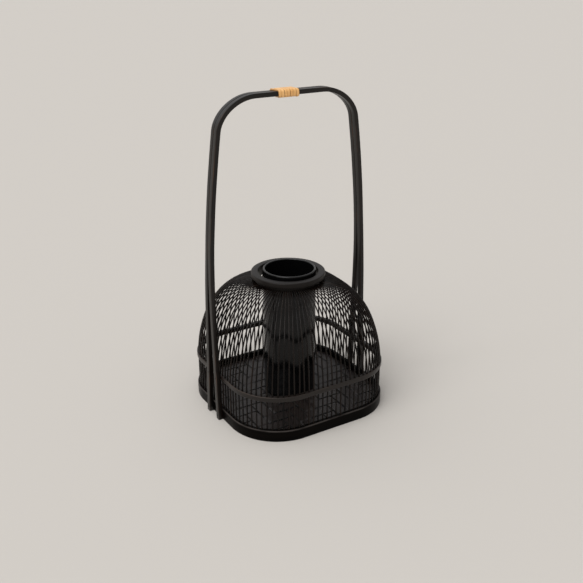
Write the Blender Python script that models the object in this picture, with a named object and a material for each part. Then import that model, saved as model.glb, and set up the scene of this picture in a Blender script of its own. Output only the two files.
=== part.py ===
"""An ikebana basket: 108 thin bamboo rods rise from a square base ring through a drilled middle hoop and
draw in under a round collar. A plaited floor lies in the base, a water container lifts out through the
collar, and a handle of two bamboo strips, bound with rattan on top, is pegged to the hoop and the base."""

import math

import bmesh
import bpy
from mathutils import Matrix, Vector

# All lengths are in metres. X runs along the handle's span, Z up from the surface that the basket stands on.

# Fits
CLEARANCE = 0.0003
CUT_OVERRUN = 0.0010

# Base ring: a rounded square with a shelf inside that carries the floor
BASE_HALF_SIDE = 0.0900
BASE_CORNER_RADIUS = 0.0553
BASE_HEIGHT = 0.0125
BASE_WALL = 0.0048
BASE_EDGE_ROUND = 0.0010
SHELF_DEPTH = 0.0070
SHELF_HEIGHT = 0.0048
BASE_CORNER_STEPS = 9

# Rods
ROD_COUNT = 108
ROD_DIAMETER = 0.0015
ROD_SETBACK = 0.0026
ROD_SOCKET_DEPTH = 0.0040
ROD_SIDES = 5
DOME_STEPS = 5
DOME_STEP_POWER = 0.7
ROD_TIP_DROP = 0.0046
DOME_RISE_SHARE = 0.20
DOME_REACH_SHARE = 0.84

# Middle hoop, a little smaller than the base ring
HOOP_SETBACK = 0.0005
HOOP_BOTTOM_HEIGHT = 0.0458
HOOP_HEIGHT = 0.0052
HOOP_WALL = 0.0046
HOOP_EDGE_ROUND = 0.0006

# Collar
COLLAR_INNER_RADIUS = 0.0323
COLLAR_OUTER_RADIUS = 0.0397
COLLAR_TOP_HEIGHT = 0.1483
COLLAR_FLANGE = 0.0054
COLLAR_NECK_WALL = 0.0026
COLLAR_NECK_DROP = 0.0060
COLLAR_ROUND = 0.0009
COLLAR_UNDERCUT = 0.0014
COLLAR_EDGE_ROUND = 0.0005
COLLAR_STEPS = 36

# Floor: strips plaited over two and under two
STRIPS_EACH_WAY = 12
STRIP_GAP = 0.0008
STRIP_THICKNESS = 0.0008
FLOAT_LENGTH = 2

# Water container
CONTAINER_RADIUS = 0.0284
CONTAINER_WALL = 0.0023
CONTAINER_BOTTOM = 0.0030
CONTAINER_RIM_HEIGHT = 0.1513
CONTAINER_RIM_ROUND = 0.0006
CONTAINER_FOOT_ROUND = 0.0015
CONTAINER_OFFSET = Vector((0.0012, -0.0008))
CONTAINER_STEPS = 32

# Handle: two strips side by side, which part below to stand on four feet
HANDLE_STRIP_WIDTH = 0.0059
HANDLE_STRIP_THICKNESS = 0.0047
HANDLE_EDGE_ROUND = 0.0005
HANDLE_TOP_HEIGHT = 0.3374
HANDLE_TOP_HALF_LENGTH = 0.0380
HANDLE_STRAIGHT_HEIGHT = 0.1200
HANDLE_SHOULDER_HEIGHT = 0.3050
HANDLE_SHOULDER_HALF_SPAN = 0.0819
HANDLE_SHOULDER_LEAN = 0.14
LEG_BEND_SHARE = 0.335
SHOULDER_RISE_SHARE = 0.50
SHOULDER_REACH_SHARE = 0.52
HANDLE_PARTING_HEIGHT = 0.1900
LEG_SPREAD_POWER = 1.3
LEG_OFFSET_IN_PITCHES = 1.5
LEG_STEPS = 4
LEG_BEND_STEPS = 4
SHOULDER_STEPS = 6

# Pegs that hold the four legs
PEG_DIAMETER = 0.0018
PEG_DEPTH = 0.0030
PEG_HEAD = 0.0004
PEG_SIDES = 8
BASE_PEG_HEIGHT = 0.0048

# Rattan binding on top of the handle
WRAP_FIRST_TURN = -0.20
WRAP_LAST_TURN = 6.40
WRAP_PITCH = 0.0033
WRAP_WIDTH = 0.0027
WRAP_THICKNESS = 0.0015
WRAP_CREST_SHARE = 0.60
WRAP_CORNER_RADIUS = 0.0010
WRAP_MIDDLE = -0.0031
WRAP_POINTS_PER_TURN = 25
WRAP_TAIL_TURN = 0.40
WRAP_TAIL_WIDTH = 0.0010
WRAP_TAIL_REACH = 0.0018
WRAP_LEAST_GAP = 0.0004

# Places that follow from the sizes above
ROD_RADIUS = ROD_DIAMETER / 2
ROD_HALF_SIDE = BASE_HALF_SIDE - ROD_SETBACK
ROD_CORNER_RADIUS = BASE_CORNER_RADIUS - ROD_SETBACK
ROD_TIP_RADIUS = COLLAR_INNER_RADIUS + COLLAR_NECK_WALL + CLEARANCE
HOOP_HALF_SIDE = BASE_HALF_SIDE - HOOP_SETBACK
HOOP_CORNER_RADIUS = BASE_CORNER_RADIUS - HOOP_SETBACK
DOME_START_HEIGHT = HOOP_BOTTOM_HEIGHT + HOOP_HEIGHT + CLEARANCE
ROD_TIP_HEIGHT = COLLAR_TOP_HEIGHT - COLLAR_FLANGE - ROD_TIP_DROP
DOME_RISE = ROD_TIP_HEIGHT - DOME_START_HEIGHT
ROD_FOOT_HEIGHT = BASE_HEIGHT - ROD_SOCKET_DEPTH
FLOOR_BOTTOM = SHELF_HEIGHT + CLEARANCE
FLOOR_LAYER = STRIP_THICKNESS + CLEARANCE
FLOOR_TOP = FLOOR_BOTTOM + FLOOR_LAYER + STRIP_THICKNESS
FLOOR_HALF_SIDE = BASE_HALF_SIDE - BASE_WALL - CLEARANCE
FLOOR_CORNER_RADIUS = BASE_CORNER_RADIUS - BASE_WALL - CLEARANCE
STRIP_PITCH = 2 * FLOOR_HALF_SIDE / STRIPS_EACH_WAY
LEG_INNER_FACE = BASE_HALF_SIDE + CLEARANCE
LEG_OUTER_FACE = LEG_INNER_FACE + HANDLE_STRIP_THICKNESS
HANDLE_CLOSE_OFFSET = (HANDLE_STRIP_WIDTH + CLEARANCE) / 2
HOOP_PEG_HEIGHT = HOOP_BOTTOM_HEIGHT + HOOP_HEIGHT / 2

# The two levels of pegs: how high they lie, and the half side of the ring that they go into
PEG_LEVELS = {"hoop": (HOOP_PEG_HEIGHT, HOOP_HALF_SIDE), "base": (BASE_PEG_HEIGHT, BASE_HALF_SIDE)}


def clear_scene():
    for thing in list(bpy.data.objects):
        bpy.data.objects.remove(thing, do_unlink=True)


def make_material(name, colour, roughness, coat=0.0):
    material = bpy.data.materials.new(name)
    material.use_nodes = True
    shader = material.node_tree.nodes["Principled BSDF"]
    shader.inputs["Base Color"].default_value = (*colour, 1.0)
    shader.inputs["Roughness"].default_value = roughness
    shader.inputs["Metallic"].default_value = 0.0
    shader.inputs["Coat Weight"].default_value = coat
    material.diffuse_color = (*colour, 1.0)
    return material


def add_object(name, body, material):
    """Turns a bmesh into an object whose faces point out and are shaded smooth up to 35 degrees."""
    bmesh.ops.recalc_face_normals(body, faces=body.faces[:])
    mesh = bpy.data.meshes.new(name)
    body.to_mesh(mesh)
    body.free()
    mesh.materials.append(material)
    mesh.shade_smooth()
    mesh.set_sharp_from_angle(angle=math.radians(35))
    thing = bpy.data.objects.new(name, mesh)
    bpy.context.scene.collection.objects.link(thing)
    return thing


def add_cutter(name, body):
    cutter = add_object(name, body, bpy.data.materials["cutter"])
    cutter.hide_render = True
    cutter.display_type = "WIRE"
    return cutter


def add_boolean(thing, other, operation):
    step = thing.modifiers.new(operation.lower(), "BOOLEAN")
    step.operation = operation
    step.object = other
    step.solver = "EXACT"


def loft(body, rings, closed):
    """Joins rings of points into a skin. A closed loft ends where it starts, an open one gets flat ends."""
    rows = [[body.verts.new(point) for point in ring] for ring in rings]
    count = len(rows[0])
    pairs = list(zip(rows, rows[1:]))
    if closed:
        pairs.append((rows[-1], rows[0]))
    for near, far in pairs:
        for i in range(count):
            j = (i + 1) % count
            body.faces.new((near[i], near[j], far[j], far[i]))
    if not closed:
        body.faces.new(rows[0][::-1])
        body.faces.new(rows[-1])


def outline_stations(half_side, corner_radius, corner_steps):
    """Points of a rounded square and their outward directions, counter-clockwise from above."""
    straight = half_side - corner_radius
    stations = []
    for corner in range(4):
        start = corner * math.pi / 2
        middle = Matrix.Rotation(start, 2) @ Vector((straight, straight))
        for step in range(corner_steps + 1):
            angle = start + step / corner_steps * math.pi / 2
            outward = Vector((math.cos(angle), math.sin(angle)))
            stations.append((middle + corner_radius * outward, outward))
    return stations


def point_along_outline(distance, half_side, corner_radius):
    """The point at a distance along a rounded square, counter-clockwise from the middle of its +X side."""
    straight = half_side - corner_radius
    arc = corner_radius * math.pi / 2
    side = 2 * straight + arc
    corner, rest = divmod(distance, side)
    if rest <= straight:
        point = Vector((half_side, rest))
    elif rest <= straight + arc:
        angle = (rest - straight) / corner_radius
        point = Vector((straight, straight)) + corner_radius * Vector((math.cos(angle), math.sin(angle)))
    else:
        point = Vector((side - rest, half_side))
    return Matrix.Rotation(corner * math.pi / 2, 2) @ point


def outline_length(half_side, corner_radius):
    return 8 * (half_side - corner_radius) + 2 * math.pi * corner_radius


def sweep_round_square(section, half_side, corner_radius, corner_steps):
    """Sweeps a section, given as (distance inward from the outline, height), round a rounded square."""
    body = bmesh.new()
    rings = []
    for point, outward in outline_stations(half_side, corner_radius, corner_steps):
        rings.append([(*(point - inward * outward), height) for inward, height in section])
    loft(body, rings, closed=True)
    return body


def turn(profile, steps, centre):
    """Turns a closed profile of (radius, height) about an upright axis. A zero radius lies on the axis."""
    body = bmesh.new()
    rows = []
    for radius, height in profile:
        if radius == 0:
            rows.append([body.verts.new((centre.x, centre.y, height))] * steps)
            continue
        row = []
        for step in range(steps):
            angle = 2 * math.pi * step / steps
            place = centre + radius * Vector((math.cos(angle), math.sin(angle)))
            row.append(body.verts.new((*place, height)))
        rows.append(row)
    ends = list(zip(rows, rows[1:]))
    if profile[0][0] > 0 and profile[-1][0] > 0:
        ends.append((rows[-1], rows[0]))
    for near, far in ends:
        for i in range(steps):
            j = (i + 1) % steps
            corners = list(dict.fromkeys((near[i], near[j], far[j], far[i])))
            if len(corners) > 2:
                body.faces.new(corners)
    return body


def bezier(start, start_handle, end_handle, end, share):
    rest = 1 - share
    return (
        rest**3 * start
        + 3 * rest**2 * share * start_handle
        + 3 * rest * share**2 * end_handle
        + share**3 * end
    )


def tube_ring(centre, along, radius, sides, upright):
    """A polygon round a point, square to a direction, with one corner towards `upright`."""
    across = along.cross(upright).normalized()
    lift = across.cross(along).normalized()
    turns = [2 * math.pi * side / sides for side in range(sides)]
    return [centre + radius * (math.cos(angle) * lift + math.sin(angle) * across) for angle in turns]


def rod_ends(number):
    """Where a rod stands in the base ring and where it meets the collar's neck, seen from above."""
    distance = number / ROD_COUNT * outline_length(ROD_HALF_SIDE, ROD_CORNER_RADIUS)
    foot = point_along_outline(distance, ROD_HALF_SIDE, ROD_CORNER_RADIUS)
    angle = 2 * math.pi * number / ROD_COUNT
    tip = ROD_TIP_RADIUS * Vector((math.cos(angle), math.sin(angle)))
    return foot, tip


def rod_rings(number):
    """The rings of one rod: upright from its socket to the hoop, then over the shoulder to the collar."""
    foot, tip = rod_ends(number)
    start = Vector((*foot, DOME_START_HEIGHT))
    end = Vector((*tip, ROD_TIP_HEIGHT))
    start_handle = start + Vector((0, 0, DOME_RISE_SHARE * DOME_RISE))
    end_handle = end + DOME_REACH_SHARE * Vector((*(foot - tip), 0))
    centres = [Vector((*foot, ROD_FOOT_HEIGHT))]
    for step in range(DOME_STEPS + 1):
        share = (step / DOME_STEPS) ** DOME_STEP_POWER
        centres.append(bezier(start, start_handle, end_handle, end, share))
    outward = Vector((*(foot - tip), 0)).normalized()
    side = Vector((0, 0, 1)).cross(outward)
    rings = []
    for place, centre in enumerate(centres):
        before = centres[max(place - 1, 0)]
        after = centres[min(place + 1, len(centres) - 1)]
        along = (after - before).normalized()
        if place == len(centres) - 1:
            along = -outward
        if place <= 1:
            along = Vector((0, 0, 1))
        rings.append(tube_ring(centre, along, ROD_RADIUS, ROD_SIDES, side.cross(along)))
    return rings


def make_base_and_rods(material):
    """The base ring with its floor shelf and all rods, which are glued into sockets in its top."""
    shelf_inner = BASE_WALL + SHELF_DEPTH
    section = [
        (0, 0),
        (shelf_inner, 0),
        (shelf_inner, SHELF_HEIGHT),
        (BASE_WALL, SHELF_HEIGHT),
        (BASE_WALL, BASE_HEIGHT),
        (BASE_EDGE_ROUND, BASE_HEIGHT),
        (0, BASE_HEIGHT - BASE_EDGE_ROUND),
    ]
    ring = add_object(
        "base_ring_with_rods",
        sweep_round_square(section, BASE_HALF_SIDE, BASE_CORNER_RADIUS, BASE_CORNER_STEPS),
        material,
    )
    rods = bmesh.new()
    for number in range(ROD_COUNT):
        loft(rods, rod_rings(number), closed=False)
    add_boolean(ring, add_cutter("rods", rods), "UNION")
    add_boolean(ring, add_cutter("base_peg_holes", peg_shapes("base", CLEARANCE)), "DIFFERENCE")
    return ring


def make_hoop(material):
    """The middle hoop, drilled for every rod and for the four pegs."""
    bottom = HOOP_BOTTOM_HEIGHT
    top = bottom + HOOP_HEIGHT
    section = [
        (0, bottom + HOOP_EDGE_ROUND),
        (HOOP_EDGE_ROUND, bottom),
        (HOOP_WALL, bottom),
        (HOOP_WALL, top),
        (HOOP_EDGE_ROUND, top),
        (0, top - HOOP_EDGE_ROUND),
    ]
    hoop = add_object(
        "middle_hoop",
        sweep_round_square(section, HOOP_HALF_SIDE, HOOP_CORNER_RADIUS, BASE_CORNER_STEPS),
        material,
    )
    holes = bmesh.new()
    hole_radius = ROD_RADIUS + CLEARANCE / math.cos(math.pi / ROD_SIDES)
    upward = Vector((0, 0, 1))
    for number in range(ROD_COUNT):
        foot, tip = rod_ends(number)
        outward = Vector((*(foot - tip), 0)).normalized()
        ends = [Vector((*foot, height)) for height in (bottom - CUT_OVERRUN, top + CUT_OVERRUN)]
        loft(holes, [tube_ring(end, upward, hole_radius, ROD_SIDES, outward) for end in ends], closed=False)
    add_boolean(hoop, add_cutter("rod_holes", holes), "DIFFERENCE")
    add_boolean(hoop, add_cutter("hoop_peg_holes", peg_shapes("hoop", CLEARANCE)), "DIFFERENCE")
    return hoop


def make_collar(material):
    """The collar: a flange with a rounded edge over a neck that the rods' tips meet."""
    flange_bottom = COLLAR_TOP_HEIGHT - COLLAR_FLANGE
    neck_radius = COLLAR_INNER_RADIUS + COLLAR_NECK_WALL
    neck_bottom = flange_bottom - COLLAR_NECK_DROP
    profile = [
        (COLLAR_INNER_RADIUS, neck_bottom),
        (neck_radius, neck_bottom),
        (neck_radius, flange_bottom - COLLAR_UNDERCUT),
        (COLLAR_OUTER_RADIUS - COLLAR_EDGE_ROUND, flange_bottom),
        (COLLAR_OUTER_RADIUS, flange_bottom + COLLAR_EDGE_ROUND),
    ]
    rounding = Vector((COLLAR_OUTER_RADIUS - COLLAR_ROUND, COLLAR_TOP_HEIGHT - COLLAR_ROUND))
    for share in (0, 1 / 3, 2 / 3, 1):
        angle = share * math.pi / 2
        profile.append(tuple(rounding + COLLAR_ROUND * Vector((math.cos(angle), math.sin(angle)))))
    profile.append((COLLAR_INNER_RADIUS + COLLAR_EDGE_ROUND, COLLAR_TOP_HEIGHT))
    profile.append((COLLAR_INNER_RADIUS, COLLAR_TOP_HEIGHT - COLLAR_EDGE_ROUND))
    return add_object("collar", turn(profile, COLLAR_STEPS, Vector((0, 0))), material)


def make_floor_outline():
    """A slab with the outline of the base ring's inside, which trims the ends of the strips."""
    body = bmesh.new()
    stations = outline_stations(FLOOR_HALF_SIDE, FLOOR_CORNER_RADIUS, BASE_CORNER_STEPS)
    levels = (FLOOR_BOTTOM - CUT_OVERRUN, FLOOR_TOP + CUT_OVERRUN)
    loft(body, [[(*point, level) for point, outward in stations] for level in levels], closed=False)
    return add_cutter("floor_outline", body)


def is_over(row, column):
    """Whether the strip that runs along X lies on top where these two strips cross."""
    return (column - row) % (2 * FLOAT_LENGTH) < FLOAT_LENGTH


def make_strip(name, number, runs_along_x, outline, material):
    """One floor strip, which passes over two crossing strips and under two, trimmed to the ring's inside."""
    offset = (number + 0.5) * STRIP_PITCH - FLOOR_HALF_SIDE
    half_width = (STRIP_PITCH - STRIP_GAP) / 2
    stations = []
    for other in range(STRIPS_EACH_WAY):
        middle = (other + 0.5) * STRIP_PITCH - FLOOR_HALF_SIDE
        over = is_over(number, other) if runs_along_x else not is_over(other, number)
        level = FLOOR_BOTTOM + (FLOOR_LAYER if over else 0)
        stations.append((middle - half_width, level))
        stations.append((middle + half_width, level))
    stations[0] = (-FLOOR_HALF_SIDE - CUT_OVERRUN, stations[0][1])
    stations[-1] = (FLOOR_HALF_SIDE + CUT_OVERRUN, stations[-1][1])
    rings = []
    for place, (along, level) in enumerate(stations):
        inside = 0 < place < len(stations) - 1
        if inside and stations[place - 1][1] == level == stations[place + 1][1]:
            continue
        corners = [
            (along, offset - half_width, level),
            (along, offset + half_width, level),
            (along, offset + half_width, level + STRIP_THICKNESS),
            (along, offset - half_width, level + STRIP_THICKNESS),
        ]
        rings.append([Vector((x, y, z)) if runs_along_x else Vector((y, x, z)) for x, y, z in corners])
    body = bmesh.new()
    loft(body, rings, closed=False)
    strip = add_object(name, body, material)
    add_boolean(strip, outline, "INTERSECT")
    return strip


def make_floor(material):
    outline = make_floor_outline()
    for number in range(STRIPS_EACH_WAY):
        make_strip(f"floor_strip_along_{number + 1:02d}", number, True, outline, material)
        make_strip(f"floor_strip_across_{number + 1:02d}", number, False, outline, material)


def make_container(material):
    """The water container, which stands on the floor and lifts out through the collar."""
    bottom = FLOOR_TOP + CLEARANCE
    inner = CONTAINER_RADIUS - CONTAINER_WALL
    rim = CONTAINER_RIM_HEIGHT
    profile = [
        (0, bottom),
        (CONTAINER_RADIUS - CONTAINER_FOOT_ROUND, bottom),
        (CONTAINER_RADIUS, bottom + CONTAINER_FOOT_ROUND),
        (CONTAINER_RADIUS, rim - CONTAINER_RIM_ROUND),
        (CONTAINER_RADIUS - CONTAINER_RIM_ROUND, rim),
        (inner + CONTAINER_RIM_ROUND, rim),
        (inner, rim - CONTAINER_RIM_ROUND),
        (inner, bottom + CONTAINER_BOTTOM + CONTAINER_FOOT_ROUND),
        (inner - CONTAINER_FOOT_ROUND, bottom + CONTAINER_BOTTOM),
        (0, bottom + CONTAINER_BOTTOM),
    ]
    return add_object("water_container", turn(profile, CONTAINER_STEPS, CONTAINER_OFFSET), material)


def leg_offset(height):
    """How far a handle strip's middle lies from the middle plane. At the hoop it is midway between rods."""
    rod_pitch = outline_length(ROD_HALF_SIDE, ROD_CORNER_RADIUS) / ROD_COUNT
    spread = LEG_OFFSET_IN_PITCHES * rod_pitch - HANDLE_CLOSE_OFFSET
    below = max(HANDLE_PARTING_HEIGHT - height, 0) / (HANDLE_PARTING_HEIGHT - HOOP_PEG_HEIGHT)
    return HANDLE_CLOSE_OFFSET + spread * below**LEG_SPREAD_POWER


def handle_line():
    """The outer line of the handle, as (x, z) points and their directions, from the +X foot over the top."""
    foot = Vector((LEG_OUTER_FACE, 0))
    knee = Vector((LEG_OUTER_FACE, HANDLE_STRAIGHT_HEIGHT))
    shoulder = Vector((HANDLE_SHOULDER_HALF_SPAN, HANDLE_SHOULDER_HEIGHT))
    top = Vector((HANDLE_TOP_HALF_LENGTH, HANDLE_TOP_HEIGHT))
    lean = Vector((-HANDLE_SHOULDER_LEAN, 1))
    bend = LEG_BEND_SHARE * (HANDLE_SHOULDER_HEIGHT - HANDLE_STRAIGHT_HEIGHT)
    rise = SHOULDER_RISE_SHARE * (HANDLE_TOP_HEIGHT - HANDLE_SHOULDER_HEIGHT)
    reach = SHOULDER_REACH_SHARE * (HANDLE_SHOULDER_HALF_SPAN - HANDLE_TOP_HALF_LENGTH)
    half = [foot.lerp(knee, step / LEG_STEPS) for step in range(LEG_STEPS)]
    for step in range(LEG_BEND_STEPS):
        share = step / LEG_BEND_STEPS
        half.append(bezier(knee, knee + Vector((0, bend)), shoulder - bend * lean, shoulder, share))
    for step in range(SHOULDER_STEPS + 1):
        share = step / SHOULDER_STEPS
        half.append(bezier(shoulder, shoulder + rise * lean, top + Vector((reach, 0)), top, share))
    points = half + [Vector((-point.x, point.y)) for point in reversed(half)]
    line = []
    for place, point in enumerate(points):
        before = points[max(place - 1, 0)]
        after = points[min(place + 1, len(points) - 1)]
        line.append((point, (after - before).normalized()))
    return line


def make_handle_strip(name, side, material):
    """One handle strip with rounded edges, on the -Y side or the +Y side, drilled for its four pegs."""
    half_width = HANDLE_STRIP_WIDTH / 2
    edge = HANDLE_EDGE_ROUND
    depth = HANDLE_STRIP_THICKNESS
    section = [
        (half_width - edge, 0),
        (half_width, edge),
        (half_width, depth - edge),
        (half_width - edge, depth),
        (edge - half_width, depth),
        (-half_width, depth - edge),
        (-half_width, edge),
        (edge - half_width, 0),
    ]
    rings = []
    for point, along in handle_line():
        inward = Vector((-along.y, along.x))
        middle = side * leg_offset(point.y)
        ring = []
        for across, inset in section:
            place = point + inset * inward
            ring.append(Vector((place.x, middle + across, place.y)))
        rings.append(ring)
    body = bmesh.new()
    loft(body, rings, closed=False)
    strip = add_object(name, body, material)
    for level in PEG_LEVELS:
        holes = add_cutter(f"{name}_{level}_holes", peg_shapes(level, CLEARANCE))
        add_boolean(strip, holes, "DIFFERENCE")
    return strip


def peg_rings(level, end, side, clearance):
    """The two ends of one peg, or with a clearance of its hole, which runs past the head and the tip."""
    height, seat = PEG_LEVELS[level]
    overrun = CUT_OVERRUN if clearance > 0 else 0
    outer = end * (LEG_OUTER_FACE + PEG_HEAD + overrun)
    inner = end * (seat - PEG_DEPTH - clearance)
    radius = PEG_DIAMETER / 2 + clearance / math.cos(math.pi / PEG_SIDES)
    along = Vector((-end, 0, 0))
    upward = Vector((0, 0, 1))
    centres = [Vector((x, side * leg_offset(height), height)) for x in (outer, inner)]
    return [tube_ring(centre, along, radius, PEG_SIDES, upward) for centre in centres]


def peg_shapes(level, clearance):
    body = bmesh.new()
    for end in (-1, 1):
        for side in (-1, 1):
            loft(body, peg_rings(level, end, side, clearance), closed=False)
    return body


def make_pegs(material):
    for level in PEG_LEVELS:
        for end_name, end in (("left", -1), ("right", 1)):
            for side_name, side in (("front", -1), ("rear", 1)):
                body = bmesh.new()
                loft(body, peg_rings(level, end, side, 0), closed=False)
                add_object(f"{level}_peg_{end_name}_{side_name}", body, material)


def wrap_point(turned, lift):
    """A point on the rounded rectangle that the binding follows, `lift` outside the two strips, as (y, z).

    Each turn starts in the middle of the top and goes down in front, along under the strips and up behind.
    """
    half_width = HANDLE_STRIP_WIDTH + 1.5 * CLEARANCE + lift
    half_depth = HANDLE_STRIP_THICKNESS / 2 + CLEARANCE + lift
    radius = WRAP_CORNER_RADIUS + lift
    flat = Vector((half_width - radius, half_depth - radius))
    arc = radius * math.pi / 2
    side = 2 * (flat.x + flat.y) + 2 * arc
    distance = turned % 1 * 2 * side
    hand = Matrix(((-1, 0), (0, 1)))
    if distance >= side:
        distance -= side
        hand = Matrix(((1, 0), (0, -1)))
    if distance < flat.x:
        point = Vector((distance, half_depth))
    elif distance < flat.x + arc:
        angle = (distance - flat.x) / radius
        point = Vector((flat.x + radius * math.sin(angle), flat.y + radius * math.cos(angle)))
    elif distance < flat.x + arc + 2 * flat.y:
        point = Vector((half_width, flat.y - (distance - flat.x - arc)))
    elif distance < flat.x + 2 * arc + 2 * flat.y:
        angle = (distance - flat.x - arc - 2 * flat.y) / radius
        point = Vector((flat.x + radius * math.cos(angle), -flat.y - radius * math.sin(angle)))
    else:
        point = Vector((side - distance, -half_depth))
    return hand @ point


def make_wrap(material):
    """The rattan binding: one flat strip wound round both handle strips, with its tapered tail slanting off."""
    steps = round((WRAP_LAST_TURN - WRAP_FIRST_TURN) * WRAP_POINTS_PER_TURN)
    start = WRAP_MIDDLE - (WRAP_FIRST_TURN + WRAP_LAST_TURN) / 2 * WRAP_PITCH
    height = HANDLE_TOP_HEIGHT - HANDLE_STRIP_THICKNESS / 2
    rings = []
    for step in range(steps + 1):
        turned = WRAP_FIRST_TURN + step / WRAP_POINTS_PER_TURN
        taper = min((turned - WRAP_FIRST_TURN) / WRAP_TAIL_TURN, 1)
        width = WRAP_TAIL_WIDTH + taper * (WRAP_WIDTH - WRAP_TAIL_WIDTH)
        middle = start + turned * WRAP_PITCH - (1 - taper) ** 2 * WRAP_TAIL_REACH
        low = wrap_point(turned, 0)
        high = wrap_point(turned, WRAP_THICKNESS)
        crest = WRAP_CREST_SHARE * width
        rings.append([
            Vector((middle - width / 2, low.x, height + low.y)),
            Vector((middle + width / 2, low.x, height + low.y)),
            Vector((middle + crest / 2, high.x, height + high.y)),
            Vector((middle - crest / 2, high.x, height + high.y)),
        ])
    gap = min(
        (far - near).length
        for place, ring in enumerate(rings[:-WRAP_POINTS_PER_TURN])
        for near in ring
        for far in rings[place + WRAP_POINTS_PER_TURN]
    )
    print(f"rattan_wrap: least gap to itself {1000 * gap:.2f} mm, wanted over {1000 * WRAP_LEAST_GAP:.2f} mm")
    body = bmesh.new()
    loft(body, rings, closed=False)
    return add_object("rattan_wrap", body, material)


def main():
    clear_scene()
    bamboo = make_material("black_lacquered_bamboo", (0.018, 0.014, 0.012), 0.42, 0.2)
    plastic = make_material("glossy_black", (0.006, 0.006, 0.006), 0.12, 0.5)
    rattan = make_material("natural_rattan", (0.60, 0.38, 0.18), 0.45)
    make_material("cutter", (0.5, 0.5, 0.5), 0.5)
    make_base_and_rods(bamboo)
    make_hoop(bamboo)
    make_collar(bamboo)
    make_floor(bamboo)
    make_container(plastic)
    make_handle_strip("handle_strip_front", -1, bamboo)
    make_handle_strip("handle_strip_rear", 1, bamboo)
    make_pegs(bamboo)
    make_wrap(rattan)


main()
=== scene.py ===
"""Looks of an ikebana basket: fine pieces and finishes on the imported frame, with floor, light and camera."""

import itertools
import math
import random

import bmesh
import bpy
from mathutils import Matrix, Vector


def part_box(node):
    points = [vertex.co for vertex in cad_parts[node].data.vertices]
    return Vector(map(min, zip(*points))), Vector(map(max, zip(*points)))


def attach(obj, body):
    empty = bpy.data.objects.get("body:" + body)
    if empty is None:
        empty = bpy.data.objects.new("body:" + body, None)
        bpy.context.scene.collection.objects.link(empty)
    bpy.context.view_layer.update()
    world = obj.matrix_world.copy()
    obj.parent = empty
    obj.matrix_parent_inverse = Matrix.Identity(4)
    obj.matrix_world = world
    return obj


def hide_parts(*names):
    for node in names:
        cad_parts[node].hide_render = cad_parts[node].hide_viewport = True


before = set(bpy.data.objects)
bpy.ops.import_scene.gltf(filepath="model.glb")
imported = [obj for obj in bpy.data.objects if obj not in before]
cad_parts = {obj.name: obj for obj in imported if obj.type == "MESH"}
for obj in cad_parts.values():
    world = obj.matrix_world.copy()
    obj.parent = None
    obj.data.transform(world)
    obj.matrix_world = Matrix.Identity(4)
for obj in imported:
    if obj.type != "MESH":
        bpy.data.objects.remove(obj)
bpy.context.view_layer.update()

# Lengths are in metres, the camera's lens and sensor in millimetres, and angles in degrees.
# X runs along the handle's span, Y across it and Z up.

# Camera
CAMERA_PLACE = (-0.4161, -0.6871, 0.4587)
CAMERA_TILT = 67.35
CAMERA_TURN = -31.46
CAMERA_LENS = 49.81
SENSOR_WIDTH = 36.0

# Base ring
BASE_HALF_SIDE = 0.0900
BASE_CORNER_RADIUS = 0.0553
BASE_HEIGHT = 0.0125
BASE_WALL = 0.0048
BASE_EDGE_ROUND = 0.0010
BASE_INNER_ROUND = 0.0004
BASE_FACE_CROWN = 0.0002
# Painted highlight: the grey line along the base ring's top outer edge fades out this far below the top
BASE_PAINTED_HIGHLIGHT_DEPTH = 0.0014
SHELF_DEPTH = 0.0070
SHELF_HEIGHT = 0.0048

# Rods
ROD_COUNT = 108
ROD_RADIUS = 0.00080
ROD_SETBACK = 0.0026
ROD_SOCKET_DEPTH = 0.0040
ROD_SIDES = 10
ROD_UPRIGHT_STEPS = 7
ROD_DOME_STEPS = 22
ROD_TIP_DROP = 0.0046
DOME_RISE_SHARE = 0.20
DOME_REACH_SHARE = 0.84
ROD_TIP_GAP = 0.00033
ROD_UPRIGHT_SWAY = 0.00011
ROD_DOME_SWAY = 0.00090
ROD_DOME_SWELL = 0.00011
ROD_TAPER_SHARE = 0.24
ROD_TAPER_START_SHARE = 0.5
ROD_SEED = 108
SOCKET_CLEARANCE = 0.00022
SOCKET_CHAMFER = 0.00016

# Rings drilled for the rods: grid steps along each side of a rod's cell
CELL_STEPS = 4

# Middle hoop
HOOP_SETBACK = 0.0005
HOOP_WALL = 0.0046
HOOP_FACE_CROWN = 0.0003
HOOP_EDGE_ROUND = 0.0006
HOOP_INNER_ROUND = 0.0004
# Painted highlight: the light line along the hoop's top outer edge fades out this far below the top
HOOP_PAINTED_HIGHLIGHT_DEPTH = 0.0012

# Collar
COLLAR_INNER_RADIUS = 0.0323
COLLAR_FLANGE = 0.0054
COLLAR_NECK_WALL = 0.0026
COLLAR_ROUND = 0.0009
COLLAR_UNDERCUT = 0.0014
COLLAR_EDGE_ROUND = 0.0006
COLLAR_TOP_FALL = 0.0003
TURNED_STEPS = 144

# Water container
CONTAINER_WALL = 0.0023
CONTAINER_BOTTOM = 0.0030
CONTAINER_RIM_ROUND = 0.0009
CONTAINER_FOOT_ROUND = 0.0016
CONTAINER_FOOT_WIDTH = 0.0040
CONTAINER_FOOT_RECESS = 0.0008

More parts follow.
